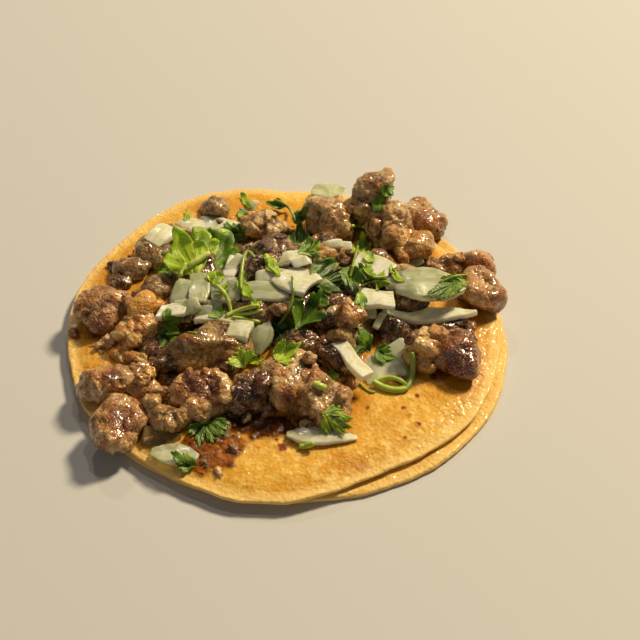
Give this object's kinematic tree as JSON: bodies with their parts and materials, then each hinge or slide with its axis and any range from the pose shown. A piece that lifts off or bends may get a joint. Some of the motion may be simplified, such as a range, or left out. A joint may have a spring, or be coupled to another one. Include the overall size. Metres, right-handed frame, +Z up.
{
  "type": "taco",
  "caption": "Street taco: small soft corn tortillas, one on the other, under a heap of chopped grilled meat, diced onion and coriander leaves.",
  "frame": {"origin": "on the table, under the middle of the taco's bounding box", "axes": "+Z up, +Y away from the eater, +X to the eater's right"},
  "size_m": [0.1268, 0.1276, 0.022],
  "materials": {
    "tortilla": "soft corn dough, mottled golden with toasted spots and oily patches, semi-matt",
    "browned_meat": "grilled meat, lumpy and moist with browned crust",
    "seared_meat": "dark seared meat, moist and glossy",
    "tan_meat": "cut face of cooked meat, tan and fibrous, lightly moist",
    "golden_fat": "rendered golden fat, translucent and glossy",
    "onion": "raw white onion, translucent cream with fine ribs, wet",
    "coriander": "fresh coriander leaf and stem, bright to dark green, satin",
    "juice": "thin amber meat juice and fat, glossy"
  },
  "bodies": {
    "root": {"tortilla_lower": "tortilla", "tortilla_upper": "tortilla", "meat_front_middle_right": "browned_meat", "meat_front_middle": "tan_meat", "meat_front_gap": "seared_meat", "meat_front_foot": "browned_meat", "meat_front_left": "browned_meat", "meat_corner_left": "tan_meat", "meat_left_front": "tan_meat", "meat_left_strip": "seared_meat", "meat_left_lump": "browned_meat", "meat_left_inner": "browned_meat", "meat_left_edge": "browned_meat", "meat_left_back": "browned_meat", "meat_back_left": "browned_meat", "meat_left_middle": "browned_meat", "meat_back_edge": "browned_meat", "meat_back_middle": "tan_meat", "meat_back_right_foot": "tan_meat", "meat_back_round": "tan_meat", "meat_right_back": "browned_meat", "meat_right_upper": "tan_meat", "meat_right_lumps": "golden_fat", "meat_right_flat": "tan_meat", "meat_right_rim": "golden_fat", "meat_right_edge": "tan_meat", "meat_right_bar": "seared_meat", "meat_right_dark": "seared_meat", "meat_right_gold": "golden_fat", "meat_right_front": "seared_meat", "meat_middle_right": "browned_meat", "meat_front_slant": "seared_meat", "meat_middle_front": "seared_meat", "meat_top_left": "browned_meat", "meat_fat_arch": "golden_fat", "meat_top_back": "tan_meat", "onion_back_left_outer": "onion", "onion_back_left_inner": "onion", "onion_back_left_wide": "onion", "onion_front_slab": "onion", "onion_left_slab": "onion", "onion_left_upright": "onion", "onion_middle_upright": "onion", "onion_square_left": "onion", "onion_left_wedge": "onion", "onion_long_slab": "onion", "onion_slab_end": "onion", "onion_oval": "onion", "onion_olive_slab": "onion", "onion_back_upright": "onion", "onion_cream": "onion", "onion_roof": "onion", "onion_square": "onion", "onion_right_upper": "onion", "onion_long_arc": "onion", "onion_big_petal": "onion", "onion_back_slab": "onion", "onion_front_petal": "onion", "onion_bright_strip": "onion", "meat_heap": "browned_meat"}
  },
  "joints": []
}
